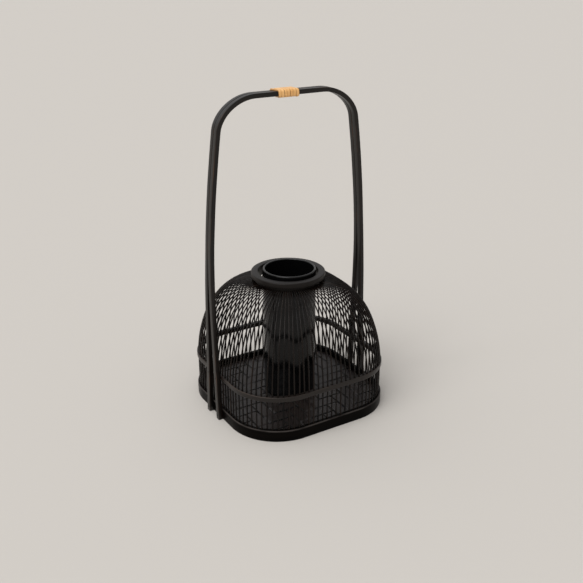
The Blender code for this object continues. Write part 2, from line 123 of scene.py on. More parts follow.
# Handle
STRIP_WIDTH = 0.0059
STRIP_THICKNESS = 0.0047
STRIP_SQUARENESS = 9.0
STRIP_POINTS = 32
STRIP_WAVER = 0.00010
STRIP_WAVER_RATES = (61, 23)
STRIP_WEAR_START_SHARE = 0.68
STRIP_WEAR_SPAN_SHARE = 0.16
STRIP_FOOT_ROUND = 0.0004
STRIP_SEED = 20
HANDLE_TOP_HALF_LENGTH = 0.0380
HANDLE_STRAIGHT_HEIGHT = 0.1200
HANDLE_SHOULDER_HEIGHT = 0.3050
HANDLE_SHOULDER_HALF_SPAN = 0.0819
HANDLE_SHOULDER_LEAN = 0.14
LEG_BEND_SHARE = 0.335
SHOULDER_RISE_SHARE = 0.50
SHOULDER_REACH_SHARE = 0.52
HANDLE_PARTING_HEIGHT = 0.1900
LEG_SPREAD_POWER = 1.3
LEG_OFFSET_IN_PITCHES = 1.5
STRIP_GAP = 0.0003
LEG_STEPS = 20
LEG_BEND_STEPS = 32
SHOULDER_STEPS = 32
TOP_STEPS = 16

# Pegs: the dome's shares are (inset from the head's top, radius)
PEG_SIDES = 16
PEG_DOME = 0.0003
PEG_TAIL_SHARE = 0.92
PEG_DOME_SHARES = ((1.0, 1.0), (0.5, 0.86), (0.125, 0.5), (0.0, 0.12))

# Rattan binding: its turns are counted along the winding, and its edge's shares are (across, thickness)
BINDING_FIRST_TURN = -0.20
BINDING_LAST_TURN = 6.40
BINDING_PITCH = 0.0033
BINDING_WIDTH = 0.00325
BINDING_THICKNESS = 0.0015
BINDING_CORNER_RADIUS = 0.0010
BINDING_MIDDLE = -0.0033
BINDING_STEPS_PER_TURN = 60
BINDING_EDGE_SHARES = ((0.5, 0.66), (0.48, 0.84), (0.40, 0.94), (0.22, 0.99))
BINDING_WANDER = 0.00016
BINDING_WANDER_RATE = 2.9
BINDING_WANDER_START = 1.0
BINDING_TAIL_TURN = 0.40
BINDING_TAIL_WIDTH = 0.0010
BINDING_TAIL_REACH = 0.0010
BINDING_TAIL_SLANT = 0.0006
BINDING_SLANT_TURN = -0.10
BINDING_SLANT_TURNS = 0.25
BINDING_END_TURN = 0.06
BINDING_END_LIFT = 0.0005

# Floor
FLOOR_STRIPS = 12
FLOOR_STRIP_GAP = 0.0008
FLOOR_STRIP_EASE = 0.0004
FLOOR_STRIP_THICKNESS = 0.0008
FLOOR_LAYER = 0.0011
FLOOR_EDGE_ROUND = 0.0003
# Painted shade: each floor strip is darkened this far in from its edges, standing in for the shade in the gaps
FLOOR_PAINTED_SHADE_WIDTH = 0.0012
FLOOR_RAMP = 0.0024
FLOOR_STRIPS_PASSED = 2
FLOOR_STATION_STEP = 0.0012
FLOOR_WANDER = 0.00018
FLOOR_SEED = 400

# Grain: how far apart the grain of one piece lies from that of the next
GRAIN_STEP = 0.37

# Stage, light and world: the world is dim to bright over these cosines of the angle to its bright side
STAGE_HALF_SIDE = 30.0
STAGE_PALE = (0.555, 0.525, 0.485)
SUN_STRENGTH = 1.7
SUN_ANGLE = 50.0
SUN_FROM = Vector((-0.75, -0.25, 0.95))
WORLD_BRIGHT = (0.95, 0.95, 0.96)
WORLD_DIM = (0.22, 0.22, 0.225)
WORLD_TOWARD = Vector((-0.72, 0.25, 0.65))
WORLD_DIM_COSINE = -0.55
WORLD_BRIGHT_COSINE = 0.75
HORIZON = (0.615, 0.580, 0.535)
HORIZON_BAND = 0.12

# Meshes: points closer than this are one, and edges that bend by fewer degrees are smooth
MERGE_DISTANCE = 1e-7
SMOOTH_DEGREES = 38

# Sizes that follow from the others
ROD_HALF_SIDE = BASE_HALF_SIDE - ROD_SETBACK
ROD_CORNER_RADIUS = BASE_CORNER_RADIUS - ROD_SETBACK
ROD_LINE_LENGTH = 8 * (ROD_HALF_SIDE - ROD_CORNER_RADIUS) + 2 * math.pi * ROD_CORNER_RADIUS
ROD_PITCH = ROD_LINE_LENGTH / ROD_COUNT


def smooth_step(share):
    share = min(max(share, 0.0), 1.0)
    return share * share * (3 - 2 * share)


def bezier(start, start_handle, end_handle, end, share):
    rest = 1 - share
    return (
        rest**3 * start
        + 3 * rest**2 * share * start_handle
        + 3 * rest * share**2 * end_handle
        + share**3 * end
    )


def rod_line(distance):
    """The point and the outward direction at a distance along the rounded square that the rods stand on."""
    straight = ROD_HALF_SIDE - ROD_CORNER_RADIUS
    arc = ROD_CORNER_RADIUS * math.pi / 2
    side = 2 * straight + arc
    corner, rest = divmod(distance, side)
    if rest <= straight:
        point, outward = Vector((ROD_HALF_SIDE, rest)), Vector((1, 0))
    elif rest <= straight + arc:
        angle = (rest - straight) / ROD_CORNER_RADIUS
        outward = Vector((math.cos(angle), math.sin(angle)))
        point = Vector((straight, straight)) + ROD_CORNER_RADIUS * outward
    else:
        point, outward = Vector((side - rest, ROD_HALF_SIDE)), Vector((0, 1))
    turn = Matrix.Rotation(corner * math.pi / 2, 2)
    return turn @ point, turn @ outward


class Skin:
    """The faces of one piece, with the grain's place and an edge value at each corner: rubbed lacquer on the
    handle, a painted highlight on the base ring and hoop, painted shade on the floor strips and binding.

    Points that fall together share a vertex.
    """

    def __init__(self):
        self.numbers = {}
        self.points = []
        self.faces = []
        self.grains = []
        self.wear_and_painted_light_values = []

    def vertex(self, point):
        key = tuple(round(value / MERGE_DISTANCE) for value in point)
        if key not in self.numbers:
            self.numbers[key] = len(self.points)
            self.points.append(tuple(point))
        return self.numbers[key]

    def face(self, corners):
        """Adds a face of (point, grain, edge value) corners, without the corners that fall together."""
        kept = {}
        for point, grain, wear_and_painted_light in corners:
            kept.setdefault(self.vertex(point), (grain, wear_and_painted_light))
        if len(kept) < 3:
            return
        self.faces.append(list(kept))
        for grain, wear_and_painted_light in kept.values():
            self.grains.extend(grain)
            self.wear_and_painted_light_values.append(wear_and_painted_light)

    def grid(self, rows, around):
        """Joins rows of corners. With `around` each row closes on itself."""
        count = len(rows[0])
        for near, far in zip(rows, rows[1:]):
            for i in range(count if around else count - 1):
                j = (i + 1) % count
                self.face((near[i], near[j], far[j], far[i]))

    def loft(self, rows):
        """A skin along closed rows with a flat cap on each end."""
        self.grid(rows, around=True)
        self.face(rows[0][::-1])
        self.face(rows[-1])


def add_piece(name, skin, material, body, slot, *nodes, smooth_degrees=SMOOTH_DEGREES):
    mesh = bpy.data.meshes.new(name)
    mesh.from_pydata(skin.points, [], skin.faces)
    mesh.attributes.new("grain", "FLOAT_VECTOR", "CORNER").data.foreach_set("vector", skin.grains)
    mesh.attributes.new("wear_and_painted_light", "FLOAT", "CORNER").data.foreach_set("value", skin.wear_and_painted_light_values)
    work = bmesh.new()
    work.from_mesh(mesh)
    bmesh.ops.recalc_face_normals(work, faces=work.faces[:])
    work.to_mesh(mesh)
    work.free()
    mesh.materials.append(material)
    mesh.shade_smooth()
    mesh.set_sharp_from_angle(angle=math.radians(smooth_degrees))
    piece = bpy.data.objects.new(name, mesh)
    bpy.context.scene.collection.objects.link(piece)
    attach(piece, body)
    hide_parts(*nodes)


def round_corners(corners, steps=4):
    """A line through (across, height, radius) corners with each corner rounded by its radius."""
    line = []
    for place, (across, height, radius) in enumerate(corners):
        corner = Vector((across, height))
        if radius == 0:
            line.append(corner)
            continue
        before = Vector(corners[place - 1][:2]) - corner
        after = Vector(corners[(place + 1) % len(corners)][:2]) - corner
        bend = before.angle(after)
        reach = radius / math.tan(bend / 2)
        start = corner + reach * before.normalized()
        end = corner + reach * after.normalized()
        halfway = (before.normalized() + after.normalized()).normalized()
        middle = corner + radius / math.sin(bend / 2) * halfway
        for step in range(steps + 1):
            share = step / steps
            spoke = start.lerp(end, share) - middle
            line.append(middle + radius * spoke.normalized())
    return line


def cell_square(inner, outer):
    """The outline of one rod's cell on a flat as (along, out) points, from its first inner corner round."""
    corners = [(-0.5, inner), (0.5, inner), (0.5, outer), (-0.5, outer)]
    square = []
    for (along, out), (next_along, next_out) in zip(corners, corners[1:] + corners[:1]):
        for step in range(CELL_STEPS):
            share = step / CELL_STEPS
            place = along + share * (next_along - along)
            square.append((place * ROD_PITCH, out + share * (next_out - out)))
    return square


def drilled_ring(sides, flats, holes):
    """A ring round the rod line, drilled for every rod.

    sides are lines of (out, height, edge value) that run round the ring, flats are (height, inner, outer,
    chamfer) with the rods' holes in them, and holes are (top, bottom, closed). `out` is measured from the rod
    line.
    """
    skin = Skin()
    radius = ROD_RADIUS + SOCKET_CLEARANCE
    mouth = radius + SOCKET_CHAMFER
    circle = []
    for step in range(4 * CELL_STEPS):
        angle = (step / CELL_STEPS - 1.5) * math.pi / 2
        circle.append((math.cos(angle), math.sin(angle)))

    def corner(distance, out, height, wear_and_painted_light=0.0):
        point, outward = rod_line(distance % ROD_LINE_LENGTH)
        return (*(point + out * outward), height), (distance, out, height), wear_and_painted_light

    for side in sides:
        rows = []
        for station in range(ROD_COUNT * CELL_STEPS + 1):
            distance = (station / CELL_STEPS - 0.5) * ROD_PITCH
            rows.append([corner(distance, out, height, wear_and_painted_light) for out, height, wear_and_painted_light in side])
        skin.grid(rows, around=False)

    for number in range(ROD_COUNT):
        middle = number * ROD_PITCH
        for height, inner, outer, chamfer in flats:
            skin.grid([
                [corner(middle + along, out, height) for along, out in cell_square(inner, outer)],
                [corner(middle + mouth * along, mouth * out, height) for along, out in circle],
                [corner(middle + radius * along, radius * out, height + chamfer) for along, out in circle],
            ], around=True)
        for top, bottom, closed in holes:
            rows = []
            for height in (top, bottom):
                rows.append([corner(middle + radius * along, radius * out, height) for along, out in circle])
            skin.grid(rows, around=True)
            if closed:
                skin.face(rows[-1])
    return skin


def with_wear_and_painted_light(line, edge, reach):
    """Adds the edge value to a line of (out, height) points: 1 within reach of the marked edge and 0
    elsewhere. On the base ring and hoop this marks a painted highlight along the top outer edge.
    """
    return [(point.x, point.y, float((point - Vector(edge)).length < reach)) for point in line]


def make_base_ring(material):
    """The bent base ring with its floor shelf, drilled from above for the rods' feet."""
    outer, inner = ROD_SETBACK, ROD_SETBACK - BASE_WALL
    ledge = inner - SHELF_DEPTH
    flat_outer = outer - BASE_FACE_CROWN / 2 - BASE_EDGE_ROUND
    flat_inner = inner + BASE_INNER_ROUND
    corners = [
        (flat_outer, BASE_HEIGHT, 0),
        (outer - BASE_FACE_CROWN / 2, BASE_HEIGHT, BASE_EDGE_ROUND),
        (outer - BASE_FACE_CROWN / 3, BASE_HEIGHT - BASE_PAINTED_HIGHLIGHT_DEPTH, 0),
        (outer, BASE_HEIGHT / 2, 0),
        (outer - BASE_FACE_CROWN / 2, 0, BASE_INNER_ROUND),
        (ledge, 0, BASE_INNER_ROUND),
        (ledge, SHELF_HEIGHT, BASE_INNER_ROUND),
        (inner, SHELF_HEIGHT, 0),
        (inner, BASE_HEIGHT, BASE_INNER_ROUND),
        (flat_inner, BASE_HEIGHT, 0),
    ]
    # The grey line laid along the top outer edge is a painted highlight
    line = with_wear_and_painted_light(round_corners(corners), (outer, BASE_HEIGHT), BASE_EDGE_ROUND)
    top = BASE_HEIGHT - SOCKET_CHAMFER
    skin = drilled_ring(
        [line],
        [(BASE_HEIGHT, line[-1][0], line[0][0], -SOCKET_CHAMFER)],
        [(top, BASE_HEIGHT - ROD_SOCKET_DEPTH - SOCKET_CLEARANCE, True)],
    )
    add_piece("base_ring", skin, material, "basket", "lacquered_bamboo", "base_ring_with_rods")


def make_hoop(material):
    """The middle hoop: flat inside, softly rounded outside, with a hole for every rod."""
    low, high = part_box("middle_hoop")
    bottom, top = low.z, high.z
    outer = ROD_SETBACK - HOOP_SETBACK
    inner = outer - HOOP_WALL
    flat_outer = outer - HOOP_EDGE_ROUND
    flat_inner = inner + HOOP_INNER_ROUND
    face = outer - HOOP_FACE_CROWN
    outside = round_corners([
        (flat_outer, top, 0),
        (face, top, HOOP_FACE_CROWN / 2),
        (outer - HOOP_FACE_CROWN / 4, top - HOOP_EDGE_ROUND, HOOP_EDGE_ROUND),
        (outer - HOOP_FACE_CROWN / 6, top - HOOP_PAINTED_HIGHLIGHT_DEPTH, 0),
        (outer, (top + bottom) / 2, 0),
        (outer - HOOP_FACE_CROWN / 4, bottom + HOOP_EDGE_ROUND, HOOP_EDGE_ROUND),
        (face, bottom, HOOP_FACE_CROWN / 2),
        (flat_outer, bottom, 0),
    ])
    inside = round_corners([
        (flat_inner, bottom, 0),
        (inner, bottom, HOOP_INNER_ROUND),
        (inner, top, HOOP_INNER_ROUND),
        (flat_inner, top, 0),
    ])
    skin = drilled_ring(
        # The top outer edge gets a painted highlight in the hoop's edge colour
        [with_wear_and_painted_light(side, (outer, top), HOOP_EDGE_ROUND) for side in (outside, inside)],
        [
            (top, inside[-1].x, outside[0].x, -SOCKET_CHAMFER),
            (bottom, inside[0].x, outside[-1].x, SOCKET_CHAMFER),
        ],
        [(top - SOCKET_CHAMFER, bottom + SOCKET_CHAMFER, False)],
    )
    add_piece("hoop", skin, material, "basket", "lacquered_bamboo", "middle_hoop")


def rod_centres(foot, tip, hoop_top, tip_height, side, draw):
    """The middle line of one rod, a little uneven: upright to the hoop, then over the shoulder to its tip."""
    low = Vector((*foot, BASE_HEIGHT - ROD_SOCKET_DEPTH))
    start = Vector((*foot, hoop_top))
    end = Vector((*tip, tip_height))
    span = Vector((*(foot - tip), 0))
    start_handle = start + Vector((0, 0, DOME_RISE_SHARE * (tip_height - hoop_top)))
    end_handle = end + DOME_REACH_SHARE * span
    upright_sway, dome_sway, dome_swell = [
        most * draw.uniform(-1, 1) for most in (ROD_UPRIGHT_SWAY, ROD_DOME_SWAY, ROD_DOME_SWELL)
    ]
    centres = []
    for step in range(ROD_UPRIGHT_STEPS):
        share = step / ROD_UPRIGHT_STEPS
        centres.append(low.lerp(start, share) + upright_sway * math.sin(math.pi * share) * side)
    for step in range(ROD_DOME_STEPS + 1):
        share = step / ROD_DOME_STEPS
        offset = math.sin(math.pi * share) ** 2 * (dome_sway * side + dome_swell * span.normalized())
        centres.append(bezier(start, start_handle, end_handle, end, share) + offset)
    return centres


def make_rods(material):
    """All rods, each round and a little thinner towards its tip."""
    draw = random.Random(ROD_SEED)
    hoop_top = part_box("middle_hoop")[1].z
    tip_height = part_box("collar")[1].z - COLLAR_FLANGE - ROD_TIP_DROP
    tip_radius = COLLAR_INNER_RADIUS + COLLAR_NECK_WALL + ROD_TIP_GAP
    turns = [2 * math.pi * side / ROD_SIDES for side in range(ROD_SIDES)]
    skin = Skin()
    for number in range(ROD_COUNT):
        foot, _ = rod_line(number * ROD_PITCH)
        angle = 2 * math.pi * number / ROD_COUNT
        tip = tip_radius * Vector((math.cos(angle), math.sin(angle)))
        side = Vector((0, 0, 1)).cross(Vector((*(foot - tip), 0)).normalized())
        centres = rod_centres(foot, tip, hoop_top, tip_height, side, draw)
        rows = []
        run = number * GRAIN_STEP
        for place, centre in enumerate(centres):
            before = centres[max(place - 1, 0)]
            after = centres[min(place + 1, len(centres) - 1)]
            along = (after - before).normalized()
            lift = side.cross(along).normalized()
            run += (centre - before).length
            dome_share = (place - ROD_UPRIGHT_STEPS) / ROD_DOME_STEPS
            tapered = smooth_step((dome_share - ROD_TAPER_START_SHARE) / (1 - ROD_TAPER_START_SHARE))
            radius = ROD_RADIUS * (1 - ROD_TAPER_SHARE * tapered)
            row = []
            for turn in turns:
                a, b = radius * math.cos(turn), radius * math.sin(turn)
                row.append((centre + a * lift + b * side, (run, a, b), 0.0))
            rows.append(row)
        skin.loft(rows)
    add_piece("rods", skin, material, "basket", "lacquered_bamboo", "base_ring_with_rods")


def turned(profile, centre, closed):
    """Turns a line of (radius, height) about an upright axis. The grain runs round the axis."""
    skin = Skin()
    rows = []
    for radius, height in profile:
        row = []
        for step in range(TURNED_STEPS):
            angle = 2 * math.pi * step / TURNED_STEPS
            point = (centre.x + radius * math.cos(angle), centre.y + radius * math.sin(angle), height)
            row.append((point, (0.0, radius, height), 0.0))
        rows.append(row)
    if closed:
        rows.append(rows[0])
    skin.grid(rows, around=True)
    return skin


def make_collar(material):
    """The turned collar: a flange with a rounded outer edge over the neck that the rods' tips meet."""
    low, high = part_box("collar")
    outer, top, neck_bottom = high.x, high.z, low.z
    flange_bottom = top - COLLAR_FLANGE
    neck = COLLAR_INNER_RADIUS + COLLAR_NECK_WALL
    profile = round_corners([
        (COLLAR_INNER_RADIUS, neck_bottom, 0),
        (neck, neck_bottom, 0),
        (neck, flange_bottom - COLLAR_UNDERCUT, 0),
        (outer, flange_bottom, COLLAR_EDGE_ROUND),
        (outer, top - COLLAR_TOP_FALL, COLLAR_ROUND),
        (outer - 2 * COLLAR_ROUND, top, 0),
        (COLLAR_INNER_RADIUS, top, COLLAR_EDGE_ROUND),
    ], steps=6)
    skin = turned(profile, Vector((0, 0)), closed=True)
    add_piece("collar_ring", skin, material, "basket", "lacquered_bamboo", "collar")


def make_container(material):
    """The water container: a glossy cylinder with a rounded rim and a shallow recess under its foot."""
    low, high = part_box("water_container")
    centre = (low + high) / 2
    radius = (high.x - low.x) / 2
    inner = radius - CONTAINER_WALL
    bottom, rim = low.z, high.z
    foot = radius - CONTAINER_FOOT_WIDTH
    profile = round_corners([
        (0, bottom + CONTAINER_FOOT_RECESS, 0),
        (foot, bottom + CONTAINER_FOOT_RECESS, CONTAINER_FOOT_RECESS / 3),
        (foot, bottom, CONTAINER_FOOT_RECESS / 3),
        (radius, bottom, CONTAINER_FOOT_ROUND),
        (radius, rim, CONTAINER_RIM_ROUND),
        (inner, rim, CONTAINER_RIM_ROUND),
        (inner, bottom + CONTAINER_BOTTOM, CONTAINER_FOOT_ROUND),
        (0, bottom + CONTAINER_BOTTOM, 0),
    ], steps=7)
    skin = turned(profile, centre, closed=False)
    add_piece(
        "container_shell", skin, material, "container", "glossy_black", "water_container", smooth_degrees=50
    )


def leg_offset(height):
    """How far a handle strip's middle lies from the middle plane."""
    low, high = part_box("middle_hoop")
    close = (STRIP_WIDTH + STRIP_GAP) / 2
    spread = LEG_OFFSET_IN_PITCHES * ROD_PITCH - close
    below = max(HANDLE_PARTING_HEIGHT - height, 0) / (HANDLE_PARTING_HEIGHT - (low.z + high.z) / 2)
    return close + spread * below**LEG_SPREAD_POWER


def handle_line():
    """The outer line of the handle as (x, z) points, from the +X foot over the top to the -X foot."""
    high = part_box("handle_strip_front")[1]
    foot = Vector((high.x, 0))
    knee = Vector((high.x, HANDLE_STRAIGHT_HEIGHT))
    shoulder = Vector((HANDLE_SHOULDER_HALF_SPAN, HANDLE_SHOULDER_HEIGHT))
    top = Vector((HANDLE_TOP_HALF_LENGTH, high.z))
    lean = Vector((-HANDLE_SHOULDER_LEAN, 1))
    bend = LEG_BEND_SHARE * (shoulder.y - knee.y)
    rise = SHOULDER_RISE_SHARE * (top.y - shoulder.y)
    reach = SHOULDER_REACH_SHARE * (shoulder.x - top.x)
    half = [foot.lerp(knee, step / LEG_STEPS) for step in range(LEG_STEPS)]
    for step in range(LEG_BEND_STEPS):
        share = step / LEG_BEND_STEPS
        half.append(bezier(knee, knee + Vector((0, bend)), shoulder - bend * lean, shoulder, share))
    for step in range(SHOULDER_STEPS):
        share = step / SHOULDER_STEPS
        half.append(bezier(shoulder, shoulder + rise * lean, top + Vector((reach, 0)), top, share))
    for step in range(TOP_STEPS):
        half.append(top.lerp(Vector((0, top.y)), step / TOP_STEPS))
    mirrored = [Vector((-point.x, point.y)) for point in reversed(half)]
    return half + [Vector((0, top.y))] + mirrored


def strip_section():
    """The section of a handle strip as (across, depth, edge value): softly convex, with its rubbed corners
    marked.
    """
    section = []
    power = 2 / STRIP_SQUARENESS
    for step in range(STRIP_POINTS):
        angle = 2 * math.pi * step / STRIP_POINTS
        across = math.copysign(abs(math.cos(angle)) ** power, math.cos(angle))
        depth = math.copysign(abs(math.sin(angle)) ** power, math.sin(angle))
        wear_and_painted_light = smooth_step((abs(across * depth) - STRIP_WEAR_START_SHARE) / STRIP_WEAR_SPAN_SHARE)
        section.append((across * STRIP_WIDTH / 2, depth * STRIP_THICKNESS / 2, wear_and_painted_light))
    return section


def make_handle_strip(name, side, number, material, node):
    """One handle strip of split bamboo, a little uneven in thickness, with eased feet."""
    draw = random.Random(STRIP_SEED + number)
    waves = [(rate, draw.uniform(0, 2 * math.pi)) for rate in STRIP_WAVER_RATES]
    line = handle_line()
    foot_share = STRIP_FOOT_ROUND / STRIP_THICKNESS
    rounded_foot = line[0].lerp(line[1], STRIP_FOOT_ROUND / (line[1] - line[0]).length)
    mirrored_foot = Vector((-rounded_foot.x, rounded_foot.y))
    line = [line[0], rounded_foot] + line[1:-1] + [mirrored_foot, line[-1]]
    section = strip_section()
    rows = []
    run = number * GRAIN_STEP
    for place, point in enumerate(line):
        before = line[max(place - 1, 0)]
        after = line[min(place + 1, len(line) - 1)]
        along = (after - before).normalized()
        inward = Vector((-along.y, along.x))
        run += (point - before).length
        is_end = place in (0, len(line) - 1)
        slim = 1 - 2 * foot_share if is_end else 1
        waver = STRIP_WAVER * math.prod(math.sin(run * rate + phase) for rate, phase in waves)
        thin = 1 - abs(waver) / STRIP_THICKNESS
        narrow = 1 - abs(waver) / STRIP_WIDTH
        middle = side * leg_offset(point.y)
        row = []
        for across, depth, wear_and_painted_light in section:
            x, z = point + (STRIP_THICKNESS / 2 + slim * thin * depth) * inward
            row.append(((x, middle + slim * across * narrow, z), (run, across, depth), wear_and_painted_light))
        rows.append(row)
    skin = Skin()
    skin.loft(rows)
    add_piece(name, skin, material, "basket", "lacquered_bamboo", node, smooth_degrees=50)


def make_peg(number, level, end_name, side_name, material):
    """One bamboo peg with a slightly domed head."""
    node = f"{level}_peg_{end_name}_{side_name}"
    low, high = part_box(node)
    centre = (low + high) / 2
    radius = (high.z - low.z) / 2
    end = 1 if end_name == "right" else -1
    inner, outer = (low.x, high.x) if end > 0 else (high.x, low.x)
    profile = [(inner, PEG_TAIL_SHARE)]
    profile += [(outer - end * inset * PEG_DOME, share) for inset, share in PEG_DOME_SHARES]
    rows = []
    for x, share in profile:
        row = []
        for step in range(PEG_SIDES):
            angle = 2 * math.pi * step / PEG_SIDES
            a, b = share * radius * math.cos(angle), share * radius * math.sin(angle)
            row.append(((x, centre.y + a, centre.z + b), (number * GRAIN_STEP + x, a, b), 0.0))
        rows.append(row)
    skin = Skin()
    skin.loft(rows)
    name = f"peg_{level}_{end_name}_{side_name}"
    add_piece(name, skin, material, "basket", "lacquered_bamboo", node)


def binding_point(turn, lift):
    """A point of the rounded rectangle that the binding follows, `lift` outside the two strips, as (y, z).

    Each turn starts in the middle of the top and goes down in front, along under the strips and up behind.
    """
    half_width = STRIP_WIDTH + STRIP_GAP + lift
    half_depth = STRIP_THICKNESS / 2 + STRIP_GAP / 2 + lift
    radius = BINDING_CORNER_RADIUS + lift
    flat = Vector((half_width - radius, half_depth - radius))
    arc = radius * math.pi / 2
    side = 2 * (flat.x + flat.y) + 2 * arc
    distance = turn % 1 * 2 * side
    hand = Matrix(((-1, 0), (0, 1)))
    if distance >= side:
        distance -= side
        hand = Matrix(((1, 0), (0, -1)))
    if distance < flat.x:
        point = Vector((distance, half_depth))
    elif distance < flat.x + arc:
        angle = (distance - flat.x) / radius
        point = flat + radius * Vector((math.sin(angle), math.cos(angle)))
    elif distance < flat.x + arc + 2 * flat.y:
        point = Vector((half_width, flat.y - (distance - flat.x - arc)))
    elif distance < flat.x + 2 * arc + 2 * flat.y:
        angle = (distance - flat.x - arc - 2 * flat.y) / radius
        point = Vector((flat.x + radius * math.cos(angle), -flat.y - radius * math.sin(angle)))
    else:
        point = Vector((side - distance, -half_depth))
    return hand @ point


def make_binding(material):
    """The rattan binding: one rounded strip wound round both handle strips, with its slanted tail on top."""
    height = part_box("handle_strip_front")[1].z - STRIP_THICKNESS / 2
    start = BINDING_MIDDLE - (BINDING_FIRST_TURN + BINDING_LAST_TURN) / 2 * BINDING_PITCH
    girth = 2 * (2 * STRIP_WIDTH + STRIP_THICKNESS)
    section = [(-0.5, 0.0), (-0.25, 0.0), (0.25, 0.0), (0.5, 0.0), *BINDING_EDGE_SHARES, (0.0, 1.0)]
    section += [(-across, share) for across, share in reversed(BINDING_EDGE_SHARES)]
    rows = []
    steps = round((BINDING_LAST_TURN - BINDING_FIRST_TURN) * BINDING_STEPS_PER_TURN)
    for step in range(steps + 1):
        turn = BINDING_FIRST_TURN + step / BINDING_STEPS_PER_TURN
        taper = min((turn - BINDING_FIRST_TURN) / BINDING_TAIL_TURN, 1)
        width = BINDING_TAIL_WIDTH + taper * (BINDING_WIDTH - BINDING_TAIL_WIDTH)
        wander = BINDING_WANDER * math.sin(BINDING_WANDER_RATE * turn + BINDING_WANDER_START)
        end = smooth_step((turn - BINDING_LAST_TURN) / BINDING_END_TURN + 1)
        slant = 1 - smooth_step((turn - BINDING_SLANT_TURN) / BINDING_SLANT_TURNS)
        centre = start + turn * BINDING_PITCH + taper * wander
        centre -= (1 - taper) ** 2 * BINDING_TAIL_REACH + slant * BINDING_TAIL_SLANT
        row = []
        for across, share in section:
            y, z = binding_point(turn, share * BINDING_THICKNESS + end * BINDING_END_LIFT)
            point = (centre + across * width, y, height + z)
            # The last value marks the strip's edges across its width, where the rattan material lays painted
            # shade
            row.append((point, (turn * girth, across * width, share * BINDING_THICKNESS), abs(2 * across)))
        rows.append(row)
    skin = Skin()
    skin.loft(rows)
    add_piece("binding", skin, material, "basket", "natural_rattan", "rattan_wrap", smooth_degrees=60)


def floor_end(across, half_side, corner_radius):
    """How far the rounded square's outline lies from the middle at a distance from the middle line."""
    straight = half_side - corner_radius
    past = max(abs(across) - straight, 0)
    return straight + math.sqrt(max(corner_radius**2 - past**2, 0))


def floor_sizes():
    """The plaited floor's half side, corner radius, pitch and lowest height, from its first packed strip."""
    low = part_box("floor_strip_along_01")[0]
    half_side = -low.y + FLOOR_STRIP_GAP / 2
    corner_radius = BASE_CORNER_RADIUS - (BASE_HALF_SIDE - half_side)
    return half_side, corner_radius, 2 * half_side / FLOOR_STRIPS, low.z


def floor_section(half_width):
    """The section of a floor strip as (across, height, edge value) corners, with painted shade along its edges
    for the shade in the gaps between strips.
    """
    edge, thick = FLOOR_EDGE_ROUND, FLOOR_STRIP_THICKNESS
    half = [(half_width - edge, 0, 0), (half_width, edge, 1), (half_width, thick - edge, 1)]
    half += [(half_width - edge, thick, 1), (half_width - FLOOR_PAINTED_SHADE_WIDTH, thick, 0)]
    mirrored = [(-across, lift, wear_and_painted_light) for across, lift, wear_and_painted_light in reversed(half)]
    return mirrored[-1:] + half + [(0, thick, 0)] + mirrored[:-1]


def make_floor_strip(number, way, material):
    """One flat strip of the plaited floor, over two crossing strips and under two, with ramps between."""
    half_side, corner_radius, pitch, bottom = floor_sizes()
    middle = (number + 0.5) * pitch - half_side
    order = number + (FLOOR_STRIPS if way == "along" else 0)
    shift = FLOOR_WANDER * random.Random(FLOOR_SEED + order).uniform(-1, 1)
    half_width = (pitch - FLOOR_STRIP_GAP - FLOOR_STRIP_EASE) / 2 - abs(shift)

    def is_over(other):
        row, column = (number, other) if way == "along" else (other, number)
        over = (column - row) % (2 * FLOOR_STRIPS_PASSED) < FLOOR_STRIPS_PASSED
        return over if way == "along" else not over

    def level(along):
        place = (along + half_side) / pitch
        edge = round(place)
        if 0 < edge < FLOOR_STRIPS:
            share = smooth_step((along + half_side - edge * pitch) / FLOOR_RAMP + 0.5)
            return is_over(edge - 1) * (1 - share) + is_over(edge) * share
        return float(is_over(min(max(int(place), 0), FLOOR_STRIPS - 1)))

    count = round(2 * half_side / FLOOR_STATION_STEP)
    rows = []
    for station in range(count + 1):
        wanted = (2 * station / count - 1) * half_side
        row = []
        for across, lift, wear_and_painted_light in floor_section(half_width):
            end = floor_end(middle + across, half_side, corner_radius)
            along = min(max(wanted, -end), end)
            height = bottom + lift + FLOOR_LAYER * level(along)
            sideways = middle + across + shift
            x, y = (along, sideways) if way == "along" else (sideways, along)
            row.append(((x, y, height), (order * GRAIN_STEP + along, across, lift), float(wear_and_painted_light)))
        rows.append(row)
    skin = Skin()
    skin.loft(rows)
    node = f"floor_strip_{way}_{number + 1:02d}"
    add_piece(f"floor_{way}_strip_{number + 1:02d}", skin, material, "basket", "floor_bamboo", node)


# Materials: colours are linear red, green and blue, and noise is in waves per metre

